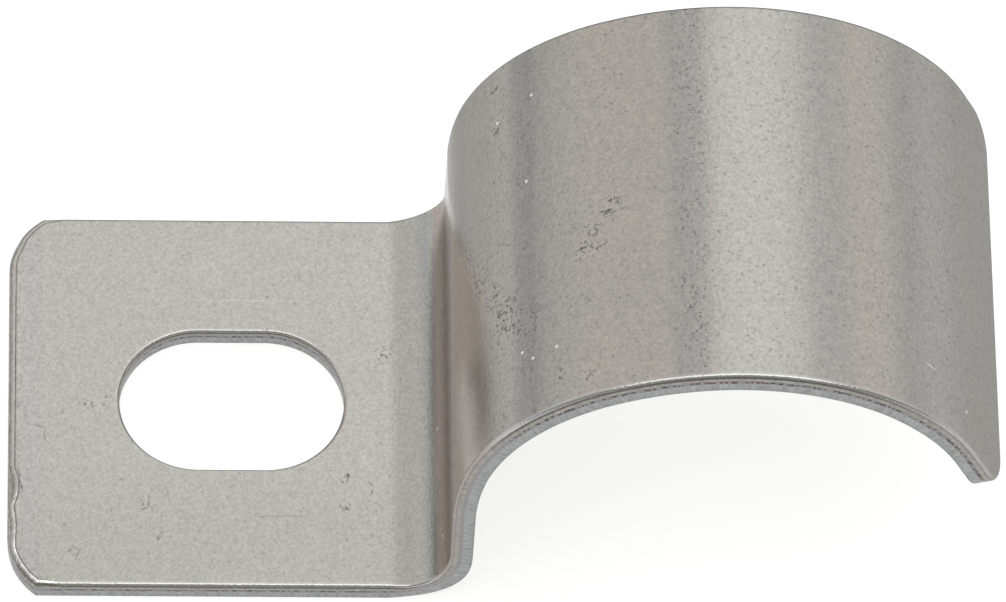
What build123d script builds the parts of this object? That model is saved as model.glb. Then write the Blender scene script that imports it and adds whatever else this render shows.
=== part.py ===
"""One-lobe cable clip: a single strip of stainless steel sheet, blanked with a screw slot and bent.

Millimetres, Z up. The origin is the centre of the screw slot on the face that lies on the wall.
+X runs along the cable, +Y from the free end of the tab towards the arch, +Z away from the wall.
"""
from build123d import *
from math import isclose
import os

# strip
SHEET = 0.8
STRIP_WIDTH = 15.0

# flat tab, measured along Y from the centre of the slot
TAB_TO_END = 7.85
TAB_TO_BEND = 5.5
TAB_CORNER_RADIUS = 2.6
TAB_CORNER_TURN = 62.0

# screw slot, long way along Y
SLOT_LENGTH = 8.0
SLOT_WIDTH = 5.65

# bend and leg; the radius is the one on the hollow side of the bend
BEND_RADIUS = 2.0
LEG_HEIGHT = 3.1

# arch over the cable; the radius is the one that the cable sees
ARCH_RADIUS = 8.5
ARCH_SWEEP = 148.0
TIP_LENGTH = 3.05
TIP_CORNER_RADIUS = 1.35

# rounding that the blanking tool leaves along the edges of the outer face, wider on the tab's end
EDGE_ROLL = 0.1
END_ROLL = 0.2

# plan view drawn with its own x along the strip
ALONG_STRIP = Plane((0, 0, 0), x_dir=(0, 1, 0), z_dir=(0, 0, 1))


def wall_line():
    """Wall side of the bent strip seen from the side, from the free end of the tab to the tip."""
    tab = Line((-TAB_TO_END, 0), (TAB_TO_BEND, 0))
    bend = JernArc(tab @ 1, tab % 1, BEND_RADIUS + SHEET, 90)
    leg = Line(bend @ 1, bend @ 1 + LEG_HEIGHT * (bend % 1))
    arch = JernArc(leg @ 1, leg % 1, ARCH_RADIUS, -ARCH_SWEEP)
    tip = Line(arch @ 1, arch @ 1 + TIP_LENGTH * (arch % 1))
    return Curve() + [tab, bend, leg, arch, tip]


def bent_strip():
    """Strip of even thickness, bent but still with square ends and no slot."""
    section = offset(wall_line(), SHEET, side=Side.LEFT, kind=Kind.INTERSECTION, closed=True)
    return extrude(Plane.YZ * make_face(section), STRIP_WIDTH / 2, both=True)


def blank(reach):
    """Plan view of the tab's end and slot; the corner arcs leave the end square, and meet the sides at an angle."""
    turned = Vector(TAB_CORNER_RADIUS, 0).rotate(Axis.Z, 180 - TAB_CORNER_TURN)
    centre = Vector(TAB_CORNER_RADIUS - TAB_TO_END, STRIP_WIDTH / 2 - turned.Y)
    corner = CenterArc(centre, TAB_CORNER_RADIUS, 180 - TAB_CORNER_TURN, TAB_CORNER_TURN)
    half = Curve() + [
        Line((reach, 0), (reach, STRIP_WIDTH / 2)),
        Line((reach, STRIP_WIDTH / 2), corner @ 0),
        corner,
        Line(corner @ 1, (-TAB_TO_END, 0)),
    ]
    return make_face(half + mirror(half, Plane.XZ)) - SlotOverall(SLOT_LENGTH, SLOT_WIDTH)


def outer_rim(clip):
    """Edges round the outer face and its slot, without the lines between the bends.

    They are sorted along the strip, so the tab's end and its two corner arcs come first.
    """
    wall = Plane.YZ * wall_line().wire()
    outer = clip.faces().filter_by(
        lambda face: isclose(wall.distance_to(face.position_at(0.5, 0.5)), SHEET, abs_tol=1e-4)
    )
    edges = outer.edges()
    return edges.filter_by(lambda edge: edges.count(edge) == 1).sort_by(Axis.Y)


def cable_clip():
    """The whole clip: strip bent, blanked, tip corners rounded, then the rolled edges of the outer face."""
    strip = bent_strip()
    box = strip.bounding_box()
    clip = strip & extrude(ALONG_STRIP * blank(box.max.Y), box.size.Z)
    tip_corners = clip.edges().filter_by(lambda edge: isclose(edge.length, SHEET)).sort_by(Axis.Y)[-2:]
    clip = fillet(tip_corners, TIP_CORNER_RADIUS)
    end, left_corner, right_corner, *others = outer_rim(clip)
    clip = fillet([end, left_corner, right_corner], END_ROLL)
    end, left_corner, right_corner, *others = outer_rim(clip)
    return fillet(others, EDGE_ROLL)


os.makedirs("parts", exist_ok=True)
export_step(cable_clip(), "parts/clip.step")
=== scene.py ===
"""One-lobe cable clip of stainless steel sheet, lying on a pale table under soft studio light.

The clip is blanked, bent and given its steel here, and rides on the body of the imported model.
Metres in Blender. The sizes of the clip are written in millimetres and turned to metres where used.
"""
import bpy
import random
from math import atan2, ceil, cos, hypot, pi, radians, sin
from mathutils import Matrix, Vector
from mathutils.geometry import delaunay_2d_cdt


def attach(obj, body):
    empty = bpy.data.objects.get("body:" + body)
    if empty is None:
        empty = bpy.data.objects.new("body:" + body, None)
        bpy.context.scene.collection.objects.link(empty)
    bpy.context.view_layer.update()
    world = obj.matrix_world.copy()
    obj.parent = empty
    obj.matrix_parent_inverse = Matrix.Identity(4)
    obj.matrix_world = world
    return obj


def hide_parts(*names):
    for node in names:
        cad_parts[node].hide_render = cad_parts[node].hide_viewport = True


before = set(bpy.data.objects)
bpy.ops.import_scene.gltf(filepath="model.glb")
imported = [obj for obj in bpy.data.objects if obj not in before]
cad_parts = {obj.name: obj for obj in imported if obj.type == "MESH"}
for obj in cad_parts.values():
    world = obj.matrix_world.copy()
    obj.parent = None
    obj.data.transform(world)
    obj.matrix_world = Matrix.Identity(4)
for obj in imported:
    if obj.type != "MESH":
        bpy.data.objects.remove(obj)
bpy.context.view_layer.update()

# ---------------------------------------------------------------------------------------------
# The clip. One strip of stainless steel sheet, blanked by a press with its screw slot, rolled a
# little over the die at its edges, then bent up at the wall and round the cable in one lobe.
# It is held by one screw through the slot in its flat tab.
# ---------------------------------------------------------------------------------------------
MM = 0.001                      # in metres
SHEET = 0.8
HALF_WIDTH = 7.5
END, TIP = -13.35, 33.5         # the tab's free end and the lobe's, along the strip from the bend's start
BEND_START = 5.5                # along Y from the slot's middle
BEND_RADIUS, LEG, ARCH_RADIUS, ARCH_SWEEP = 2.4, 3.1, 8.9, radians(156)      # on the mid-line
CORNER, TIP_CORNER = 2.6, 1.4
CORNER_TURN = {1: radians(52), -1: radians(57)}      # the tab's front and back corner
SLOT_LENGTH, SLOT_WIDTH, SLOT_ASIDE = 7.9, 5.58, -0.04
STEP_ALONG_EDGE = 0.12


def arc(centre, radius, start, end):
    """Points of an arc from one angle to another, close enough together to look round."""
    count = max(3, ceil(abs(end - start) * radius / STEP_ALONG_EDGE))
    return [(centre[0] + radius * cos(start + (end - start) * i / count),
             centre[1] + radius * sin(start + (end - start) * i / count)) for i in range(count + 1)]


def spaced(corners):
    """The closed line through the corners, with points added on its long straight runs."""
    points = []
    for here, there in zip(corners, corners[1:] + corners[:1]):
        far = hypot(there[0] - here[0], there[1] - here[1])
        if far < 1e-6:
            continue
        count = max(1, round(far / STEP_ALONG_EDGE))
        points += [(here[0] + (there[0] - here[0]) * i / count,
                    here[1] + (there[1] - here[1]) * i / count) for i in range(count)]
    return points


# The blank's outline, across the strip (x) and along it (s), with the strip on the left hand.
corner_x = {side: HALF_WIDTH - CORNER * sin(CORNER_TURN[side]) for side in (1, -1)}
rim = spaced(
    arc((corner_x[1], END + CORNER), CORNER, -pi / 2, -pi / 2 + CORNER_TURN[1])
    + arc((HALF_WIDTH - TIP_CORNER, TIP - TIP_CORNER), TIP_CORNER, 0, pi / 2)
    + arc((-HALF_WIDTH + TIP_CORNER, TIP - TIP_CORNER), TIP_CORNER, pi / 2, pi)
    + arc((-corner_x[-1], END + CORNER), CORNER, -pi / 2 - CORNER_TURN[-1], -pi / 2))
slot_run = (SLOT_LENGTH - SLOT_WIDTH) / 2       # half of its straight run
slot = spaced(
    arc((SLOT_ASIDE, -BEND_START - slot_run), SLOT_WIDTH / 2, 0, -pi)
    + arc((SLOT_ASIDE, -BEND_START + slot_run), SLOT_WIDTH / 2, pi, 0))

# The cut edge, as levels through the sheet from the outer face to the wall side: how far each
# stands in from the outline, and its height. First the roll over the die, then the sheared band,
# the torn band below it and the small break at the wall side.
ROLLED = [(0.22, 0.4), (0.16, 0.4), (0.115, 0.394), (0.075, 0.377), (0.040, 0.346), (0.015, 0.305),
          (0.003, 0.262), (0.0, 0.22), (0.0, 0.15), (0.001, 0.09), (0.010, 0.05), (0.015, -0.02),
          (0.016, -0.1), (0.014, -0.2), (0.016, -0.3), (0.020, -0.37), (0.034, -0.4), (0.10, -0.4)]
END_ROLLED = [(0.30, 0.4), (0.265, 0.399), (0.235, 0.386), (0.205, 0.388), (0.14, 0.362), (0.07, 0.325),
              (0.02, 0.26), (0.0, 0.19), (0.0, 0.14), (0.001, 0.09), (0.010, 0.05), (0.015, -0.02),
              (0.016, -0.1), (0.014, -0.2), (0.016, -0.3), (0.020, -0.37), (0.034, -0.4), (0.10, -0.4)]
SLOT_ROLL = 0.75                # the slot's roll, as a share of the sides'
END_FROM, END_OVER = END + 1.9, 0.7     # where the sides' edge turns into the tab end's, and over how far
TORN, TORN_BY = range(10, 15), (-0.006, 0.009)          # the levels that tore, and how unevenly
CUT = range(5, 16)              # the levels with a cut face below them
KNOCKED = range(8)              # the levels that a knock pushes in
KNOCKS = ((3.5, END, 0.75, 0.15), (5.2, END + 0.12, 0.8, 0.07), (6.6, END + 1.0, 0.5, 0.06),
          (-6.2, END + 0.5, 0.5, 0.07), (-6.9, END + 1.2, 0.4, 0.05))      # x, s, radius, bite
# What each level of the edge is painted with, as a number. A plus up to 1 is rubbed metal, lighter and
# smoother, which partly paints in the light line along the roll; over 1 it is a painted highlight, white.
# A minus is painted shade: a dark line under the front roll, along the back edge and in the creases of
# the tab's end roll.
WEAR_AND_PAINTED_LINES = {1: 0.25, 2: 0.7, 3: 1.0, 4: 1.0, 5: -0.9, 6: -0.5}      # at the front and round the slot
PAINTED_BACK_SHADE = {2: -0.2, 3: -0.6, 4: -0.8, 5: -0.8}                   # at the back
END_WEAR_AND_PAINTED_LINES = {1: 0.0, 2: -1.0, 3: 0.8, 4: 0.1, 5: -0.35, 6: -0.1}    # on the tab's end
# Painted highlights on the tab's end, which push the level over 1, to white.
PAINTED_GLINT_LEVELS, PAINTED_GLINT, PAINTED_GLINT_FROM = range(3, 5), 0.8, 3.6       # the end's levels that glint, how much, from which x
PAINTED_CORNER_GLINT, CORNER_FROM = 0.7, 5.7                    # what the first of them has more by the front corner
# The painted lines are weaker near the tip, on the far side of the lobe and on the edge round the leg:
# where these lie along the strip, over how far the lines fade there, and what share of them is lost. The
# last stretch of the lobe takes the back's painted shade instead of the front's lines.
TIP_IN_BACK_SHADE = 0.5
FADE_FROM, FADE_OVER, FADE_SHARE = 25.0, 3.0, 0.6
LEG_MIDDLE, LEG_REACH, LEG_OVER, LEG_SHARE = 6.8, 6.0, 2.0, 0.7


def clamped(value):
    """The value, kept between 0 and 1."""
    return max(0.0, min(1.0, value))


def inward(points, index):
    """The way from a point of a closed line into the strip."""
    before, after = points[index - 1], points[(index + 1) % len(points)]
    run = Vector((after[0] - before[0], after[1] - before[1])).normalized()
    return Vector((-run.y, run.x))


random.seed(11)
vertices, faces, face_is_cut, worn = [], [], [], []
rings = []
for line in (rim, slot):
    first, count = len(vertices), len(line)
    sides = [inward(line, index) for index in range(count)]
    for level, (inset, height) in enumerate(ROLLED):
        for (x, s), side in zip(line, sides):
            at_end = clamped((END_FROM - s) / END_OVER) if line is rim else 0.0
            far = inset * (1.0 if line is rim else SLOT_ROLL) + (END_ROLLED[level][0] - inset) * at_end
            if line is rim and level in KNOCKED:
                far += sum(bite * max(0.0, 1 - (hypot(x - at_x, s - at_s) / radius) ** 2)
                           for at_x, at_s, radius, bite in KNOCKS)
            if level in TORN:
                far += random.uniform(*TORN_BY)
            vertices.append((x + side.x * far, s + side.y * far,
                             height + (END_ROLLED[level][1] - height) * at_end))
            # 1 where the edge faces the front of the clip, 0 where it faces the back.
            front = 0.0 if s > TIP - TIP_IN_BACK_SHADE else clamped(0.5 - 1.6 * side.x)
            late = clamped((s - FADE_FROM) / FADE_OVER)
            # Rubbed metal with painted light and shade on the sides' edge and on the tab's end, blended where the end
            # takes over.
            rub_and_light = WEAR_AND_PAINTED_LINES.get(level, 0.0) * front * (1 - FADE_SHARE * late) + PAINTED_BACK_SHADE.get(level, 0.0) * (1 - front)
            rub_and_light *= 1 - LEG_SHARE * clamped((LEG_REACH - abs(s - LEG_MIDDLE)) / LEG_OVER)
            painted_glint = PAINTED_GLINT if level in PAINTED_GLINT_LEVELS and x > PAINTED_GLINT_FROM else 0.0
            end_rub_and_light = END_WEAR_AND_PAINTED_LINES.get(level, 0.0) + random.uniform(-0.2, 0.25 + painted_glint)
            end_rub_and_light += PAINTED_CORNER_GLINT if level == PAINTED_GLINT_LEVELS[0] and x > CORNER_FROM else 0.0
            worn.append(rub_and_light * (1 - at_end) + at_end * end_rub_and_light)
    for level in range(len(ROLLED) - 1):
        upper, lower = first + level * count, first + (level + 1) * count
        for index in range(count):
            after = (index + 1) % count
            faces.append((upper + index, lower + index, lower + after, upper + after))
            face_is_cut.append(level in CUT)
    rings.append((first, count))

# The two faces of the sheet: a grid of points between the edges, finer over the bend and the leg,
# joined to the first and the last level of the edge.
GRID, BEND_GRID, BEND_ROWS, COLUMNS = 0.27, 0.12, (-0.5, 9.0), 56
OUTER_MARGIN, WALL_MARGIN = 0.42, 0.2


def clear_of_rim(x, s, margin):
    """Whether a point lies inside the outline and outside the slot by the margin."""
    if abs(x) > HALF_WIDTH - margin or not END + margin < s < TIP - margin:
        return False
    corner, side = s - (END + CORNER), abs(x) - corner_x[1 if x > 0 else -1]
    if corner < 0 and side > 0 and hypot(corner, side) > CORNER - margin:
        return False
    corner, side = s - (TIP - TIP_CORNER), abs(x) - (HALF_WIDTH - TIP_CORNER)
    if corner > 0 and side > 0 and hypot(corner, side) > TIP_CORNER - margin:
        return False
    along = max(0.0, abs(s + BEND_START) - slot_run)
    return hypot(along, x - SLOT_ASIDE) > SLOT_WIDTH / 2 + margin


rows, s = [], END
while s < TIP:
    rows.append(s)
    s += BEND_GRID if BEND_ROWS[0] < s < BEND_ROWS[1] else GRID
columns = [-HALF_WIDTH + 2 * HALF_WIDTH * i / COLUMNS for i in range(COLUMNS + 1)]
slot_first, edge_points = rings[1][0], len(vertices)
for level, height, margin in ((0, SHEET / 2, OUTER_MARGIN), (len(ROLLED) - 1, -SHEET / 2, WALL_MARGIN)):
    border, sides = [], []
    for first, count in rings:
        sides += [(len(border) + i, len(border) + (i + 1) % count) for i in range(count)]
        border += range(first + level * count, first + (level + 1) * count)
    inner = [Vector((x, s)) for s in rows for x in columns if clear_of_rim(x, s, margin)]
    names = border + list(range(len(vertices), len(vertices) + len(inner)))
    found = delaunay_2d_cdt([Vector(vertices[index][:2]) for index in border] + inner, sides, [], 1, 1e-7)
    vertices += [(point.x, point.y, height) for point in inner]
    for triangle in found[2]:
        corners = [names[found[3][i][0]] for i in triangle]
        if min(corners) >= slot_first and max(corners) < edge_points:
            a, b, c = (Vector(vertices[index][:2]) for index in sorted(corners))
            if (b - a).cross(c - b) < 0:        # it turns with the slot's edge, so it lies in the slot
                continue
        faces.append(corners if height > 0 else corners[::-1])
        face_is_cut.append(False)
worn += [0.0] * (len(vertices) - len(worn))

# Where the outer face is pitted, browned in the bend and up the leg, partly by a film of heat and oil
# and partly as a painted reflection of the tab, and painted with bands and spots of light and shade.
# The materials read these as attributes of the blank's points.
PITS = ((0.1, 16.8, 0.45, 1.0), (0.0, 14.8, 0.5, 0.5), (0.9, 16.1, 0.35, 0.9), (1.6, 15.8, 0.45, 0.9),
        (1.5, 16.5, 0.35, 0.6), (0.7, 10.8, 0.7, 0.75), (1.8, 11.6, 0.8, 0.65), (2.9, 12.5, 0.9, 0.75),
        (3.5, 13.5, 0.80, 0.7), (6.3, 14.7, 0.22, 1.0), (6.65, 15.8, 0.22, 1.0), (0.1, -10.4, 0.45, 0.65),
        (-2.7, -4.2, 0.3, 0.6), (4.2, -8.5, 0.3, 0.6), (-4.6, -3.4, 0.8, 0.35), (3.1, -1.4, 0.2, 1.0),
        (4.2, -1.6, 0.2, 0.9), (-4.9, 12.1, 0.2, 1.0), (-6.7, 12.0, 0.25, 1.0), (-1.0, 12.5, 0.9, 0.35),
        (5.6, -8.0, 0.3, 0.5), (-2.0, -0.2, 0.4, 0.6), (6.1, -10.9, 0.4, 0.5))      # x, s, radius, how many
LOBE_PITS, LOBE_PITS_FROM, TAB_PITS, WALL_PITS = 0.32, 11.5, 0.08, 0.1      # how many elsewhere
# Bands across the strip, painted lighter or darker as light and shade on the bend and the lobe, which also carry pits.
PAINTED_LIGHT_BANDS = ((19.42, 0.62, (0.87, 0.89, 0.93), 0.55), (13.35, 0.52, (0.83, 0.84, 0.86), 0.4),
         (12.4, 1.8, (0.92, 0.92, 0.925), 0.2), (24.0, 0.7, (0.94, 0.96, 1.0), 0.2),
         (1.3, 1.0, (1.02, 1.06, 1.09), 0.1), (28.5, 1.8, (0.94, 0.95, 0.97), 0.15),
         (-12.6, 0.4, (0.97, 0.97, 1.02), 0.1))      # s, half width, tone, how many pits
# The brown in the bend and up the leg is partly a film of heat and oil; on the lobe past the leg it is a painted
# reflection of the tab in the hollow.
FILM_AND_PAINTED_REFLECTION = ((2.0, 0.0), (2.45, 0.9), (6.4, 0.95), (9.6, 0.95), (11.0, 0.6), (11.9, 0.0))      # s, how thick
FILM_AND_REFLECTION_TONE = (0.05, -0.05, -0.10)                # what the thickest film and painted reflection add to red, green and blue
LOBE_FROM, TAB_UNTIL = 6.6, 1.0                 # where the painted light and the painted reflection's back edge on the lobe begin, and the tab's end
BACK_X, BACK_S, BACK_SLANT = -5.6, 7.2, 1.55    # the painted reflection's back edge runs slantwise over the lobe
FRONT_FROM, FRONT_OVER, FRONT_DARKER = 2.5, 2.5, 0.045      # painted shade: the tab darkens towards its front
LINE_S, LINE_SLANT, LINE_HALF, LINE_LIGHTER = 7.60, 0.125, 0.13, 0.35       # a painted highlight line by the leg
LINE_FROM, LINE_OVER = -6.0, 2.0                # where across the strip it sets in
SPOT_X, SPOT_S, SPOT_WIDER, SPOT_HALF, SPOT_DARKER = 5.3, 10.2, 1.7, 1.1, 0.24      # a painted shade spot above it


def fade(share):
    """1 in a mark's middle, falling smoothly to 0 past its half width, where the share is 1."""
    part = clamped((1.35 - share) / 0.7)
    return part * part * (3 - 2 * part)


def between(knots, s):
    """The value of a line through the knots at s, and 0 outside them."""
    for (before, low), (after, high) in zip(knots, knots[1:]):
        if before <= s < after:
            return low + (high - low) * (s - before) / (after - before)
    return 0.0


pitted, film, shade = [], [], []
for x, s, height in vertices:
    if height <= 0:
        pitted.append(WALL_PITS)
        film.append(0.0)
        shade += [1.0] * 4
        continue
    stripes = [fade(abs(s - at_s) / width) for at_s, width, tone, pits in PAINTED_LIGHT_BANDS]
    pitted.append(max([LOBE_PITS if s > LOBE_PITS_FROM else TAB_PITS]
                      + [pits * fade(hypot(x - at_x, s - at_s) / radius) for at_x, at_s, radius, pits in PITS]
                      + [stripe * band[3] for stripe, band in zip(stripes, PAINTED_LIGHT_BANDS)]))
    film.append(between(FILM_AND_PAINTED_REFLECTION, s))
    if s > LOBE_FROM:
        film[-1] *= clamped(x - BACK_X - BACK_SLANT * (s - BACK_S))
    tone = [1.0 + part * film[-1] for part in FILM_AND_REFLECTION_TONE]
    for stripe, band in zip(stripes, PAINTED_LIGHT_BANDS):
        tone = [part * (1 + (own - 1) * stripe) for part, own in zip(tone, band[2])]
    # Painted shade, darker towards the tab's front.
    if s < TAB_UNTIL:
        tone = [part * (1 - FRONT_DARKER * clamped((x - FRONT_FROM) / FRONT_OVER)) for part in tone]
    # On the lobe: a painted highlight line by the leg and a painted shade spot above it.
    if s > LOBE_FROM:
        painted_line = fade(abs(s - LINE_S + LINE_SLANT * x) / LINE_HALF) * clamped((x - LINE_FROM) / LINE_OVER)
        shade_spot = fade(hypot((x - SPOT_X) / SPOT_WIDER, s - SPOT_S) / SPOT_HALF)
        tone = [part * (1 + LINE_LIGHTER * painted_line) * (1 - SPOT_DARKER * shade_spot) for part in tone]
    shade += tone + [1.0]

blank = bpy.data.meshes.new("clip_blank")
blank.from_pydata([(x * MM, s * MM, height * MM) for x, s, height in vertices], [], faces)
for name, kind, domain, field, values in (
        ("cut", "BOOLEAN", "FACE", "value", face_is_cut), ("worn", "FLOAT", "POINT", "value", worn),
        ("pitted", "FLOAT", "POINT", "value", pitted), ("film", "FLOAT", "POINT", "value", film),
        ("shade", "FLOAT_COLOR", "POINT", "color", shade)):
    blank.attributes.new(name, kind, domain).data.foreach_set(field, values)
blank.polygons.foreach_set("use_smooth", [True] * len(faces))
clip = bpy.data.objects.new("clip_sheet", blank)
bpy.context.scene.collection.objects.link(clip)


def add(tree, kind, settings=None, links=None):
    """Adds a node with its settings, and its inputs from sockets or plain values."""
    made = tree.nodes.new(kind)
    for name, value in (settings or {}).items():
        if name == "stops":
            ramp = made.color_ramp.elements
            while len(ramp) < len(value):
                ramp.new(0.5)
            for stop, (place, colour) in zip(ramp, value):
                stop.position, stop.color = place, colour
        else:
            setattr(made, name, value)
    for socket, source in (links or {}).items():
        if isinstance(source, bpy.types.NodeSocket):
            tree.links.new(source, made.inputs[socket])
        else:
            made.inputs[socket].default_value = source
    return made


def linear(code):
    """An sRGB hex colour as the linear colour a shader socket takes."""
    parts = [int(code[i:i + 2], 16) / 255 for i in (1, 3, 5)]
    return tuple(p / 12.92 if p <= 0.04045 else ((p + 0.055) / 1.055) ** 2.4 for p in parts) + (1.0,)


# Stainless steel sheet with the dull 2B mill finish, tumbled after stamping: it gives the eye a
# pale warm grey with a fine grain, a cloudy sheen, and the pits and hairlines that the stones and the
# press leave. Small bright dots are painted glints; along the edges lie rubbed metal, painted
# highlights and painted shade; the bend and the lobe carry the brown film, partly a painted
# reflection, and painted bands of light and shade. All of it lies on the flat blank, in millimetres.
# The finest of the real grain would not show in the render, so the grain is drawn at about 0.12 mm.
GRAIN, MOTTLE, CLOUD = 8.5, 2.6, 0.45        # how many to the millimetre
PIT_RIM, PIT_FLOOR = 0.30, 0.20              # how low the grain is at a pit's rim and at its floor
HAIRLINES = ((0.6, (2.7, -13.0), (3.3, -12.92)), (0.9, (3.2, -12.95), (3.75, -12.82)),
             (0.5, (1.0, -12.5), (1.15, -12.1), (1.75, -12.05)),
             (0.7, (4.05, -8.4), (4.35, -8.45), (4.45, -8.75)),
             (0.5, (5.9, -11.1), (6.1, -10.85), (6.5, -11.0)),
             (0.45, (3.2, -0.75), (3.5, -0.55), (3.85, -0.65)), (0.3, (3.0, -1.3), (3.1, -0.9)),
             (-0.16, (-4.15, -7.3), (-4.1, -2.3)), (-0.9, (5.3, 27.7), (5.4, 28.3)),
             (0.3, (3.4, -7.9), (3.9, -7.7)), (0.25, (-2.0, 9.6), (-1.5, 12.6)),
             (0.3, (4.7, -5.4), (4.65, -2.5)))        # how deep (a minus is raised and bright), points
HAIRLINE_HALF = 0.034                        # half its width
# Small bright dots painted as glints.
PAINTED_GLINT_DOTS = ((-5.5, 13.8), (-5.2, 12.1), (-2.1, 13.5), (6.1, 30.1), (0.0, 7.3), (5.1, 13.65), (5.05, 14.65),
        (4.65, 13.15), (6.0, 2.7), (1.6, 2.4), (-1.4, 9.0), (3.3, 4.1))      # x, s
DOT_RIM, DOT_CORE = 0.08, 0.03               # how far from the middle it begins and is full
FILM_AND_REFLECTION_HIDES = 0.72                            # how much of the metal's own shine the thickest film and painted reflection hide

skin = bpy.data.materials.new("stainless_2b_tumbled")
skin.use_nodes = True
tree = skin.node_tree
tree.nodes.clear()
place = add(tree, "ShaderNodeAttribute", {"attribute_name": "blank"}).outputs["Vector"]
on_sheet = add(tree, "ShaderNodeVectorMath", {"operation": "MULTIPLY"}, {0: place, 1: (1.0, 1.0, 0.0)}).outputs[0]
grain = add(tree, "ShaderNodeTexNoise", {}, {"Vector": place, "Scale": GRAIN, "Detail": 3.0,
                                            "Roughness": 0.7}).outputs["Fac"]
mottle = add(tree, "ShaderNodeTexNoise", {}, {"Vector": place, "Scale": MOTTLE, "Detail": 4.0,
                                             "Roughness": 0.6}).outputs["Fac"]
cloud = add(tree, "ShaderNodeTexNoise", {}, {"Vector": place, "Scale": CLOUD, "Detail": 2.0}).outputs["Fac"]
pits = add(tree, "ShaderNodeAttribute", {"attribute_name": "pitted"}).outputs["Fac"]
tone = add(tree, "ShaderNodeAttribute", {"attribute_name": "shade"}).outputs["Color"]
film_and_reflection = add(tree, "ShaderNodeAttribute", {"attribute_name": "film"}).outputs["Fac"]
wear_and_light = add(tree, "ShaderNodeAttribute", {"attribute_name": "worn"}).outputs["Fac"]
# A pit is where the noise of the grain is low, and the more pitted the sheet, the more counts as low.
low = add(tree, "ShaderNodeMath", {"operation": "MULTIPLY_ADD"}, {0: pits, 1: -0.21, 2: grain}).outputs[0]
deepest = add(tree, "ShaderNodeMath", {"operation": "MULTIPLY_ADD"}, {0: pits, 1: 0.32, 2: 0.5}).outputs[0]
pit = add(tree, "ShaderNodeMapRange", {"interpolation_type": "SMOOTHSTEP"},
          {"Value": low, "From Min": PIT_RIM, "From Max": PIT_FLOOR, "To Max": deepest}).outputs[0]
line, glint_dot = {1: 0.0, -1: 0.0}, 0.0
for deep, *strokes in HAIRLINES:
    side = 1 if deep > 0 else -1
    for here, there in zip(strokes, strokes[1:]):
        run = (there[0] - here[0], there[1] - here[1])
        local = add(tree, "ShaderNodeMapping", {"vector_type": "TEXTURE"},
                    {"Vector": on_sheet, "Location": ((here[0] + there[0]) / 2, (here[1] + there[1]) / 2, 0.0),
                     "Rotation": (0.0, 0.0, atan2(run[1], run[0])),
                     "Scale": (hypot(*run) * 0.58, HAIRLINE_HALF, 1.0)})
        far = add(tree, "ShaderNodeVectorMath", {"operation": "LENGTH"}, {0: local.outputs[0]}).outputs["Value"]
        near = add(tree, "ShaderNodeMapRange", {}, {"Value": far, "From Min": 1.0, "From Max": 0.4,
                                                    "To Max": abs(deep)}).outputs[0]
        line[side] = add(tree, "ShaderNodeMath", {"operation": "MAXIMUM"}, {0: line[side], 1: near}).outputs[0]
for x, s in PAINTED_GLINT_DOTS:
    far = add(tree, "ShaderNodeVectorMath", {"operation": "DISTANCE"}, {0: on_sheet, 1: (x, s, 0.0)}).outputs["Value"]
    near = add(tree, "ShaderNodeMapRange", {}, {"Value": far, "From Min": DOT_RIM, "From Max": DOT_CORE}).outputs[0]
    glint_dot = add(tree, "ShaderNodeMath", {"operation": "MAXIMUM"}, {0: glint_dot, 1: near}).outputs[0]
# Sockets 6 and 7 are the two colours of a Mix, and 2 and 3 its two numbers.
fine = add(tree, "ShaderNodeValToRGB", {"stops": [(0.28, linear("#8a8783")), (0.5, linear("#a19e99")),
                                                  (0.72, linear("#b6b3ad"))]}, {"Fac": grain}).outputs[0]
broad = add(tree, "ShaderNodeValToRGB", {"stops": [(0.32, linear("#929190")), (0.5, linear("#a19e99")),
                                                   (0.68, linear("#aeaba2"))]}, {"Fac": mottle}).outputs[0]
drift = add(tree, "ShaderNodeValToRGB", {"stops": [(0.3, linear("#9d9c9a")), (0.7, linear("#a5a19a"))]},
            {"Fac": cloud}).outputs[0]
colour = add(tree, "ShaderNodeMix", {"data_type": "RGBA"}, {"Factor": 0.5, 6: broad, 7: drift}).outputs[2]
colour = add(tree, "ShaderNodeMix", {"data_type": "RGBA"}, {"Factor": 0.6, 6: colour, 7: fine}).outputs[2]
colour = add(tree, "ShaderNodeMix", {"data_type": "RGBA", "blend_type": "MULTIPLY"},
             {"Factor": 1.0, 6: colour, 7: tone}).outputs[2]
# Painted shade where the edge's level is below 0.
painted_shade = add(tree, "ShaderNodeMath", {"operation": "MULTIPLY", "use_clamp": True}, {0: wear_and_light, 1: -1.0}).outputs[0]
# Painted highlight, white, where the edge's level is over 1; up to 1 it is rubbed bright metal.
painted_glint = add(tree, "ShaderNodeMath", {"operation": "SUBTRACT", "use_clamp": True}, {0: wear_and_light, 1: 1.0}).outputs[0]
bright = add(tree, "ShaderNodeClamp", {}, {"Value": wear_and_light}).outputs[0]
for amount, other in ((pit, "#4e4b49"), (line[1], "#5f5c5a"), (line[-1], "#d5d3cf"), (glint_dot, "#e6e5e2"),
                      (bright, "#bbbbba"), (painted_glint, "#ffffff"), (painted_shade, "#464647")):
    colour = add(tree, "ShaderNodeMix", {"data_type": "RGBA"},
                 {"Factor": amount, 6: colour, 7: linear(other)}).outputs[2]
dull = add(tree, "ShaderNodeMapRange", {"interpolation_type": "SMOOTHSTEP"},
           {"Value": mottle, "From Min": 0.36, "From Max": 0.64, "To Min": 0.12, "To Max": 0.19}).outputs[0]
dull = add(tree, "ShaderNodeMix", {"data_type": "FLOAT"}, {"Factor": pit, 2: dull, 3: 0.4}).outputs[0]
dull = add(tree, "ShaderNodeMix", {"data_type": "FLOAT"}, {"Factor": bright, 2: dull, 3: 0.15}).outputs[0]
relief = add(tree, "ShaderNodeMath", {"operation": "SUBTRACT"}, {0: grain, 1: pit}).outputs[0]
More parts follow.
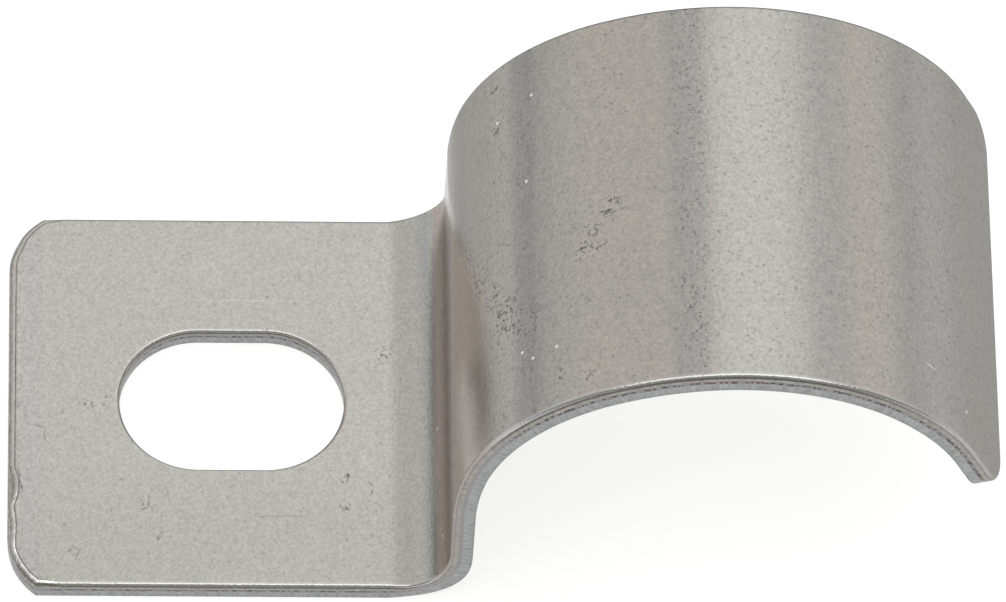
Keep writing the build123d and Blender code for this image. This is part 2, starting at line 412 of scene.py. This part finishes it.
relief = add(tree, "ShaderNodeMath", {"operation": "MULTIPLY_ADD"}, {0: line[1], 1: -0.8, 2: relief}).outputs[0]
relief = add(tree, "ShaderNodeBump", {}, {"Strength": 0.6, "Distance": 0.00002, "Height": relief}).outputs[0]
bare = add(tree, "ShaderNodeMath", {"operation": "MULTIPLY_ADD"}, {0: film_and_reflection, 1: -FILM_AND_REFLECTION_HIDES, 2: 1.0}).outputs[0]
surface = add(tree, "ShaderNodeBsdfPrincipled", {}, {"Metallic": bare, "Base Color": colour, "Roughness": dull,
                                                     "Normal": relief, "Specular Tint": (0.52, 0.52, 0.52, 1.0)})
add(tree, "ShaderNodeOutputMaterial", {}, {"Surface": surface.outputs[0]})

# The cut edge of the same sheet, as the punch left it: a smooth band that it sheared, browned by
# heat and oil, and under it the grey grain of the band where the steel tore. The drag marks of the
# punch run through the sheet, so their grain is drawn out along the depth.
SPECKS, DRAG_MARKS = 7.0, (7.5, 7.5, 2.5)    # how many to the millimetre
LEG_CALM, SIDES_FULL, CALM = 4.0, 6.5, 0.3   # from the leg's middle: few torn specks, then all of them

edge = bpy.data.materials.new("stainless_cut_edge")
edge.use_nodes = True
tree = edge.node_tree
tree.nodes.clear()
place = add(tree, "ShaderNodeAttribute", {"attribute_name": "blank"}).outputs["Vector"]
axis = add(tree, "ShaderNodeSeparateXYZ", {}, {"Vector": place}).outputs
specks = add(tree, "ShaderNodeTexNoise", {}, {"Vector": place, "Scale": SPECKS, "Detail": 3.0}).outputs["Fac"]
drawn = add(tree, "ShaderNodeVectorMath", {"operation": "MULTIPLY"}, {0: place, 1: DRAG_MARKS}).outputs[0]
drag = add(tree, "ShaderNodeTexNoise", {}, {"Vector": drawn, "Scale": 1.0, "Detail": 2.0,
                                           "Roughness": 0.6}).outputs["Fac"]
wander = add(tree, "ShaderNodeMath", {"operation": "MULTIPLY_ADD"}, {0: specks, 1: 0.14, 2: -0.07}).outputs[0]
level = add(tree, "ShaderNodeMath", {"operation": "ADD"}, {0: axis["Z"], 1: wander}).outputs[0]
level = add(tree, "ShaderNodeMapRange", {}, {"Value": level, "From Min": -SHEET / 2, "From Max": SHEET / 2}).outputs[0]
colour = add(tree, "ShaderNodeValToRGB", {"stops": [(0.0, linear("#8d8e8f")), (0.08, linear("#a2a3a4")),
                                                    (0.44, linear("#a9aaaa")), (0.52, linear("#a5a3a1")),
                                                    (0.80, linear("#a8a5a2"))]}, {"Fac": level}).outputs[0]
torn = add(tree, "ShaderNodeValToRGB", {"stops": [(0.44, (0, 0, 0, 1)), (0.54, (1, 1, 1, 1)), (0.60, (1, 1, 1, 1)),
                                                  (0.70, (0, 0, 0, 1))]}, {"Fac": level}).outputs[0]
patchy = add(tree, "ShaderNodeMapRange", {"interpolation_type": "SMOOTHSTEP"},
             {"Value": drag, "From Min": 0.41, "From Max": 0.57}).outputs[0]
spots = add(tree, "ShaderNodeMath", {"operation": "MULTIPLY"}, {0: torn, 1: patchy}).outputs[0]
from_leg = add(tree, "ShaderNodeMath", {"operation": "SUBTRACT"}, {0: axis["Y"], 1: LEG_MIDDLE}).outputs[0]
from_leg = add(tree, "ShaderNodeMath", {"operation": "ABSOLUTE"}, {0: from_leg}).outputs[0]
calm = add(tree, "ShaderNodeMapRange", {}, {"Value": from_leg, "From Min": LEG_CALM, "From Max": SIDES_FULL,
                                            "To Min": CALM, "To Max": 1.0}).outputs[0]
spots = add(tree, "ShaderNodeMath", {"operation": "MULTIPLY"}, {0: spots, 1: calm}).outputs[0]
colour = add(tree, "ShaderNodeMix", {"data_type": "RGBA"},
             {"Factor": spots, 6: colour, 7: linear("#4f4745")}).outputs[2]
streak = add(tree, "ShaderNodeValToRGB", {"stops": [(0.32, linear("#d9d9d9")), (0.68, linear("#ffffff"))]},
             {"Fac": drag}).outputs[0]
colour = add(tree, "ShaderNodeMix", {"data_type": "RGBA", "blend_type": "MULTIPLY"},
             {"Factor": 1.0, 6: colour, 7: streak}).outputs[2]
wear_and_light = add(tree, "ShaderNodeAttribute", {"attribute_name": "worn"}).outputs["Fac"]
# Painted shade on the cut face where the edge's level is below 0: the dark line under the roll.
painted_shade = add(tree, "ShaderNodeMath", {"operation": "MULTIPLY", "use_clamp": True}, {0: wear_and_light, 1: -1.0}).outputs[0]
colour = add(tree, "ShaderNodeMix", {"data_type": "RGBA"},
             {"Factor": painted_shade, 6: colour, 7: linear("#3f3b39")}).outputs[2]
relief = add(tree, "ShaderNodeBump", {}, {"Strength": 0.4, "Distance": 0.00002, "Height": specks}).outputs[0]
surface = add(tree, "ShaderNodeBsdfPrincipled", {}, {"Metallic": 1.0, "Base Color": colour, "Roughness": 0.42,
                                                     "Normal": relief})
add(tree, "ShaderNodeOutputMaterial", {}, {"Surface": surface.outputs[0]})

# The press tool: it bends the flat blank by its length along the strip, keeps the flat place of
# every point for the finish, and gives the skin and the cut edge their materials.
BEND_BULGE, ARCH_FLARE = 0.12, 0.05      # how far the bending pushes the edges out on the hollow side
BEND_FILLED = 0.24                       # how far the die squares up the bend on its wall side
# The flats that the former leaves on the lobe: the share of the sweep, and millimetres outwards.
FLATS = ((0.0, -0.010), (0.05, -0.015), (0.116, 0.030), (0.231, 0.060), (0.346, 0.045), (0.461, -0.005),
         (0.577, 0.040), (0.693, 0.105), (0.807, 0.150), (1.0, 0.130))
CURVE_ZERO, CURVE_GAIN = 0.5, 2          # a curve runs from 0 to 1, so they are doubled round its middle
FLATS_OVER = 0.4                         # the flats set in over this length of the lobe, past the leg
FLARE_OVER = 1 / 3                       # the flare sets in over this angle from each end of the lobe

press = bpy.data.node_groups.new("press_tool", "GeometryNodeTree")
press.interface.new_socket("Geometry", in_out="INPUT", socket_type="NodeSocketGeometry")
sizes = {"Bend start": BEND_START * MM, "Mid height": SHEET / 2 * MM, "Bend radius": BEND_RADIUS * MM,
         "Leg": LEG * MM, "Arch radius": ARCH_RADIUS * MM, "Arch sweep": ARCH_SWEEP,
         "Half width": HALF_WIDTH * MM, "Bend bulge": BEND_BULGE * MM, "Bend filled": BEND_FILLED * MM,
         "Arch flare": ARCH_FLARE * MM}
for name in sizes:
    press.interface.new_socket(name, in_out="INPUT", socket_type="NodeSocketFloat")
press.interface.new_socket("Geometry", in_out="OUTPUT", socket_type="NodeSocketGeometry")
given = add(press, "NodeGroupInput").outputs
flat = add(press, "GeometryNodeInputPosition").outputs[0]
flat_mm = add(press, "ShaderNodeVectorMath", {"operation": "SCALE"}, {0: flat, "Scale": 1 / MM}).outputs[0]
kept = add(press, "GeometryNodeStoreNamedAttribute", {"data_type": "FLOAT_VECTOR", "domain": "POINT"},
           {"Geometry": given["Geometry"], "Name": "blank", "Value": flat_mm})
axis = add(press, "ShaderNodeSeparateXYZ", {}, {0: flat}).outputs
# How much of each stretch of the strip lies before a point.
bend_run = add(press, "ShaderNodeMath", {"operation": "MULTIPLY"}, {0: given["Bend radius"], 1: pi / 2}).outputs[0]
arch_run = add(press, "ShaderNodeMath", {"operation": "MULTIPLY"},
               {0: given["Arch radius"], 1: given["Arch sweep"]}).outputs[0]
on_tab = add(press, "ShaderNodeMath", {"operation": "MINIMUM"}, {0: axis["Y"], 1: 0.0}).outputs[0]
in_bend = add(press, "ShaderNodeClamp", {}, {"Value": axis["Y"], "Min": 0.0, "Max": bend_run}).outputs[0]
past_bend = add(press, "ShaderNodeMath", {"operation": "SUBTRACT"}, {0: axis["Y"], 1: bend_run}).outputs[0]
on_leg = add(press, "ShaderNodeClamp", {}, {"Value": past_bend, "Min": 0.0, "Max": given["Leg"]}).outputs[0]
past_leg = add(press, "ShaderNodeMath", {"operation": "SUBTRACT"}, {0: past_bend, 1: given["Leg"]}).outputs[0]
on_arch = add(press, "ShaderNodeClamp", {}, {"Value": past_leg, "Min": 0.0, "Max": arch_run}).outputs[0]
past_arch = add(press, "ShaderNodeMath", {"operation": "SUBTRACT"}, {0: past_leg, 1: arch_run}).outputs[0]
on_tip = add(press, "ShaderNodeMath", {"operation": "MAXIMUM"}, {0: past_arch, 1: 0.0}).outputs[0]
# The strip turns up by the rise in the bend, and back over by the fall round the lobe.
rise = add(press, "ShaderNodeMath", {"operation": "DIVIDE"}, {0: in_bend, 1: given["Bend radius"]}).outputs[0]
fall = add(press, "ShaderNodeMath", {"operation": "DIVIDE"}, {0: on_arch, 1: given["Arch radius"]}).outputs[0]
slope = add(press, "ShaderNodeMath", {"operation": "SUBTRACT"}, {0: rise, 1: fall}).outputs[0]
turn = {}
for name, angle in (("rise", rise), ("fall", fall), ("slope", slope)):
    for kind in ("SINE", "COSINE"):
        turn[name, kind] = add(press, "ShaderNodeMath", {"operation": kind}, {0: angle}).outputs[0]
# The flats that the former leaves on the lobe move the sheet a little in or out.
swept = add(press, "ShaderNodeMath", {"operation": "DIVIDE"}, {0: fall, 1: given["Arch sweep"]}).outputs[0]
former = add(press, "ShaderNodeFloatCurve", {}, {"Value": swept})
curve = former.mapping.curves[0]
for place, out in FLATS[1:-1]:
    curve.points.new(place, CURVE_ZERO + out * CURVE_GAIN)
for point, (place, out) in ((curve.points[0], FLATS[0]), (curve.points[-1], FLATS[-1])):
    point.location = (place, CURVE_ZERO + out * CURVE_GAIN)
former.mapping.update()
centred = add(press, "ShaderNodeMath", {"operation": "SUBTRACT"}, {0: former.outputs[0], 1: CURVE_ZERO}).outputs[0]
in_lobe = add(press, "ShaderNodeMath", {"operation": "MULTIPLY", "use_clamp": True},
              {0: past_leg, 1: 1 / (FLATS_OVER * MM)}).outputs[0]
out = add(press, "ShaderNodeMath", {"operation": "MULTIPLY"}, {0: centred, 1: in_lobe}).outputs[0]
deep = add(press, "ShaderNodeMath", {"operation": "MULTIPLY_ADD"},
           {0: out, 1: MM / CURVE_GAIN, 2: axis["Z"]}).outputs[0]
# The die squares up the bend a little on the wall side, most half way round it.
level = add(press, "ShaderNodeMath", {"operation": "DIVIDE"}, {0: axis["Z"], 1: given["Mid height"]}).outputs[0]
wall_side = add(press, "ShaderNodeMath", {"operation": "MULTIPLY", "use_clamp": True}, {0: level, 1: -1.0}).outputs[0]
twice = add(press, "ShaderNodeMath", {"operation": "MULTIPLY"}, {0: rise, 1: 2.0}).outputs[0]
round_bend = add(press, "ShaderNodeMath", {"operation": "SINE"}, {0: twice}).outputs[0]
filled = add(press, "ShaderNodeMath", {"operation": "MULTIPLY"}, {0: round_bend, 1: round_bend}).outputs[0]
filled = add(press, "ShaderNodeMath", {"operation": "MULTIPLY"}, {0: filled, 1: given["Bend filled"]}).outputs[0]
filled = add(press, "ShaderNodeMath", {"operation": "MULTIPLY"}, {0: filled, 1: wall_side}).outputs[0]
deep = add(press, "ShaderNodeMath", {"operation": "SUBTRACT"}, {0: deep, 1: filled}).outputs[0]
# The place of a point along the wall and above it, stretch by stretch, then out by its depth.
versed_rise = add(press, "ShaderNodeMath", {"operation": "SUBTRACT"}, {0: 1.0, 1: turn["rise", "COSINE"]}).outputs[0]
versed_fall = add(press, "ShaderNodeMath", {"operation": "SUBTRACT"}, {0: 1.0, 1: turn["fall", "COSINE"]}).outputs[0]
along = add(press, "ShaderNodeMath", {"operation": "ADD"}, {0: given["Bend start"], 1: on_tab}).outputs[0]
for amount, share in ((given["Bend radius"], turn["rise", "SINE"]), (given["Arch radius"], versed_fall),
                      (on_tip, turn["slope", "COSINE"])):
    along = add(press, "ShaderNodeMath", {"operation": "MULTIPLY_ADD"}, {0: amount, 1: share, 2: along}).outputs[0]
height = add(press, "ShaderNodeMath", {"operation": "ADD"}, {0: given["Mid height"], 1: on_leg}).outputs[0]
for amount, share in ((given["Bend radius"], versed_rise), (given["Arch radius"], turn["fall", "SINE"]),
                      (on_tip, turn["slope", "SINE"]), (deep, turn["slope", "COSINE"])):
    height = add(press, "ShaderNodeMath", {"operation": "MULTIPLY_ADD"}, {0: amount, 1: share, 2: height}).outputs[0]
aside = add(press, "ShaderNodeMath", {"operation": "MULTIPLY"}, {0: deep, 1: turn["slope", "SINE"]}).outputs[0]
along = add(press, "ShaderNodeMath", {"operation": "SUBTRACT"}, {0: along, 1: aside}).outputs[0]
# Bending pushes the edges out on the hollow side and draws them in on the other.
to_tip = add(press, "ShaderNodeMath", {"operation": "SUBTRACT"}, {0: given["Arch sweep"], 1: fall}).outputs[0]
to_end = add(press, "ShaderNodeMath", {"operation": "MINIMUM"}, {0: fall, 1: to_tip}).outputs[0]
in_arch = add(press, "ShaderNodeMath", {"operation": "MULTIPLY", "use_clamp": True},
              {0: to_end, 1: 1 / FLARE_OVER}).outputs[0]
bulge = add(press, "ShaderNodeMath", {"operation": "MULTIPLY"}, {0: round_bend, 1: given["Bend bulge"]}).outputs[0]
flare = add(press, "ShaderNodeMath", {"operation": "MULTIPLY"}, {0: in_arch, 1: given["Arch flare"]}).outputs[0]
spread = add(press, "ShaderNodeMath", {"operation": "SUBTRACT"}, {0: bulge, 1: flare}).outputs[0]
share = add(press, "ShaderNodeMath", {"operation": "DIVIDE"}, {0: axis["X"], 1: given["Half width"]}).outputs[0]
pushed = add(press, "ShaderNodeMath", {"operation": "MULTIPLY"}, {0: spread, 1: level}).outputs[0]
across = add(press, "ShaderNodeMath", {"operation": "MULTIPLY_ADD"}, {0: pushed, 1: share, 2: axis["X"]}).outputs[0]
bent = add(press, "ShaderNodeCombineXYZ", {}, {0: across, 1: along, 2: height}).outputs[0]
shaped = add(press, "GeometryNodeSetPosition", {}, {"Geometry": kept.outputs[0], "Position": bent})
whole = add(press, "GeometryNodeRealizeInstances", {}, {"Geometry": shaped.outputs[0]})
skinned = add(press, "GeometryNodeSetMaterial", {}, {"Geometry": whole.outputs[0], "Material": skin})
is_cut = add(press, "GeometryNodeInputNamedAttribute", {"data_type": "BOOLEAN"}, {"Name": "cut"})
finished = add(press, "GeometryNodeSetMaterial", {}, {"Geometry": skinned.outputs[0], "Material": edge,
                                                      "Selection": is_cut.outputs["Attribute"]})
add(press, "NodeGroupOutput", {}, {"Geometry": finished.outputs[0]})

stroke = clip.modifiers.new("press", "NODES")
stroke.node_group = press
for item in press.interface.items_tree:
    if item.in_out == "INPUT" and item.name in sizes:
        stroke[item.identifier] = sizes[item.name]
bpy.context.view_layer.update()
pressed = bpy.data.meshes.new_from_object(clip.evaluated_get(bpy.context.evaluated_depsgraph_get()))
pressed.name = "clip_pressed"
clip.modifiers.clear()
clip.data = pressed
pressed.set_sharp_from_angle(angle=radians(42))
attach(clip, "root")
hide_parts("clip")

# ---------------------------------------------------------------------------------------------
# The table. A plain matt white board, larger than the view. The camera and the steel's reflections
# see it lifted nearly to white, with the clip's shadow left on it. All other light finds it plain.
# ---------------------------------------------------------------------------------------------
TABLE_HALF = 0.6                # metres
board = bpy.data.meshes.new("table_board")
board.from_pydata([(-TABLE_HALF, -TABLE_HALF, 0), (TABLE_HALF, -TABLE_HALF, 0),
                   (TABLE_HALF, TABLE_HALF, 0), (-TABLE_HALF, TABLE_HALF, 0)], [], [(0, 1, 2, 3)])
table = bpy.data.objects.new("table", board)
bpy.context.scene.collection.objects.link(table)
matt = bpy.data.materials.new("white_matt_board")
matt.use_nodes = True
tree = matt.node_tree
tree.nodes.clear()
light_path = add(tree, "ShaderNodeLightPath").outputs
seen = add(tree, "ShaderNodeMath", {"operation": "ADD"},
           {0: light_path["Is Camera Ray"], 1: light_path["Is Glossy Ray"]}).outputs[0]
seen = add(tree, "ShaderNodeMath", {"operation": "ADD", "use_clamp": True},
           {0: seen, 1: light_path["Is Transmission Ray"]}).outputs[0]
plain = add(tree, "ShaderNodeBsdfDiffuse", {}, {"Color": linear("#f4f4f2")}).outputs[0]
half = add(tree, "ShaderNodeBsdfDiffuse", {}, {"Color": linear("#9f9f9f")}).outputs[0]
glow = add(tree, "ShaderNodeEmission", {}, {"Color": (1, 1, 1, 1), "Strength": 0.76}).outputs[0]
lifted = add(tree, "ShaderNodeAddShader", {}, {0: half, 1: glow}).outputs[0]
shown = add(tree, "ShaderNodeMixShader", {}, {0: seen, 1: plain, 2: lifted}).outputs[0]
add(tree, "ShaderNodeOutputMaterial", {}, {"Surface": shown})
board.materials.append(matt)

# ---------------------------------------------------------------------------------------------
# The light. A pale cloth tent that is brightest overhead, dims towards the table and stands open
# and darker at the front, so that the lobe shows soft bands. One long soft box high over the clip
# draws the thin light lines along its rolled edges.
# ---------------------------------------------------------------------------------------------
TENT = ((-100, 0.80), (-88, 0.87), (-79, 0.93), (-66, 1.06), (-30, 1.07), (-14, 1.11), (-8, 1.23),
        (-4, 1.44), (3, 1.50), (12, 1.50), (24, 1.44), (32, 1.29), (38, 1.12), (44, 1.09), (56, 1.14),
        (72, 1.16), (80, 1.02), (88, 0.90), (100, 0.82))      # degrees from overhead along the strip, brightness
TENT_SIDE, TENT_PEAK = 100, 2.0         # the curve's ends in degrees, and the brightness at its top
FRONT_LIGHT = 0.45              # in the open front
world = bpy.data.worlds.new("light_tent")
bpy.context.scene.world = world
world.use_nodes = True
tree = world.node_tree
tree.nodes.clear()
way = add(tree, "ShaderNodeTexCoord").outputs["Generated"]
axis = add(tree, "ShaderNodeSeparateXYZ", {}, {0: way}).outputs
turned = add(tree, "ShaderNodeMath", {"operation": "ARCTAN2"}, {0: axis["Y"], 1: axis["Z"]}).outputs[0]
round_tent = add(tree, "ShaderNodeMapRange", {}, {"Value": turned, "From Min": radians(-TENT_SIDE),
                                                  "From Max": radians(TENT_SIDE)}).outputs[0]
cloth = add(tree, "ShaderNodeFloatCurve", {}, {"Value": round_tent})
curve = cloth.mapping.curves[0]
for place, level in TENT[1:-1]:
    curve.points.new((place + TENT_SIDE) / (2 * TENT_SIDE), level / TENT_PEAK)
curve.points[0].location = (0.0, TENT[0][1] / TENT_PEAK)
curve.points[-1].location = (1.0, TENT[-1][1] / TENT_PEAK)
cloth.mapping.update()
lit = add(tree, "ShaderNodeMath", {"operation": "MULTIPLY"}, {0: cloth.outputs[0], 1: TENT_PEAK}).outputs[0]
open_front = add(tree, "ShaderNodeMapRange", {"interpolation_type": "SMOOTHSTEP"},
                 {"Value": axis["X"], "From Min": -0.10, "From Max": 0.25}).outputs[0]
level = add(tree, "ShaderNodeMix", {"data_type": "FLOAT"}, {"Factor": open_front, 2: lit, 3: FRONT_LIGHT}).outputs[0]
tints = add(tree, "ShaderNodeValToRGB", {"stops": [(0.10, linear("#fcfeff")), (0.18, linear("#fffdf9")),
                                                    (0.44, linear("#fffdf9")), (0.50, linear("#fbfffc")),
                                                    (0.66, linear("#fbfffc")), (0.70, linear("#fffdf9")),
                                                    (0.86, linear("#fffdf9")), (0.93, linear("#fcfeff"))]},
            {"Fac": round_tent}).outputs[0]
tent = add(tree, "ShaderNodeBackground", {}, {"Color": tints, "Strength": level}).outputs[0]
add(tree, "ShaderNodeOutputWorld", {}, {"Surface": tent})

CLIP_MIDDLE = Vector((0, 0.009, 0.005))         # metres
BOX_TOWARDS = Vector((0.30, 0.02, 0.95)).normalized()
BOX_FAR, BOX_WIDTH, BOX_LENGTH = 1.2, 0.5, 2.0  # metres
lamp = bpy.data.lights.new("key_box", "AREA")
lamp.shape, lamp.size, lamp.size_y = "RECTANGLE", BOX_WIDTH, BOX_LENGTH
lamp.energy, lamp.color = 6.2, linear("#fffefd")[:3]
box = bpy.data.objects.new("key_box", lamp)
length_way = Vector((1, 0, 0)).cross(BOX_TOWARDS).normalized()
width_way = length_way.cross(BOX_TOWARDS)
box.matrix_world = (Matrix.Translation(CLIP_MIDDLE + BOX_TOWARDS * BOX_FAR)
                    @ Matrix((width_way, length_way, BOX_TOWARDS)).transposed().to_4x4())
bpy.context.scene.collection.objects.link(box)

# ---------------------------------------------------------------------------------------------
# The camera. A long lens from the front right and above, a little rolled. Its place was solved
# from the clip's outline in the photograph.
# ---------------------------------------------------------------------------------------------
lens = bpy.data.cameras.new("camera")
lens.lens, lens.sensor_width, lens.sensor_fit = 407.71, 36.0, "HORIZONTAL"
lens.clip_start, lens.clip_end = 0.02, 20.0
camera = bpy.data.objects.new("camera", lens)
right = Vector((0.015372, 0.999082, 0.039999))
back = Vector((0.517057, -0.042182, 0.854911)).normalized()
up = back.cross(right).normalized()
right = up.cross(back)
camera.matrix_world = (Matrix.Translation((0.204298, -0.007399, 0.345519))
                       @ Matrix((right, up, back)).transposed().to_4x4())
bpy.context.scene.collection.objects.link(camera)
bpy.context.scene.camera = camera

bpy.context.scene.view_settings.view_transform = "Standard"
